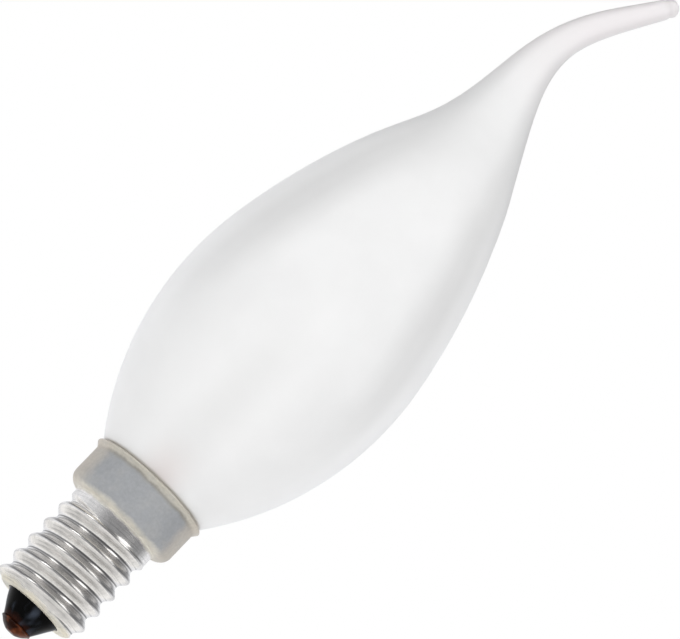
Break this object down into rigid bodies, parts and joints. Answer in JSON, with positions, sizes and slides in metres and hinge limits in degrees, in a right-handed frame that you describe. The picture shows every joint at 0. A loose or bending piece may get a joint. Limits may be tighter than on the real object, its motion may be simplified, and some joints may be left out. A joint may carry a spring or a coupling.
{
  "type": "candle bulb",
  "caption": "Flame-shaped frosted candle bulb with a drawn-out, S-bent tip, on a small Edison screw cap that feeds and holds it.",
  "frame": {"origin": "centre of the end contact's flat land, on the cap's axis", "axes": "+Z along the cap's axis from the end contact to the glass tip; the tip bends in the XZ plane and ends on the +X side; +Y is the back, where the side lead is soldered"},
  "size_m": [0.035, 0.035, 0.1253],
  "materials": {
    "frosted_glass": "frosted white on the inside, smooth outside",
    "capping_cement": "matt, baked",
    "rolled_aluminium": "rolled sheet, bright on the thread and satin on the skirt",
    "black_glass": "glossy, opaque",
    "tarnished_copper": "darkened copper plate",
    "solder": "dull tin solder"
  },
  "bodies": {
    "root": {"glass_envelope": "frosted_glass", "capping_cement": "capping_cement", "cap_shell": "rolled_aluminium", "insulator": "black_glass", "end_contact": "tarnished_copper", "side_solder": "solder"}
  },
  "joints": []
}
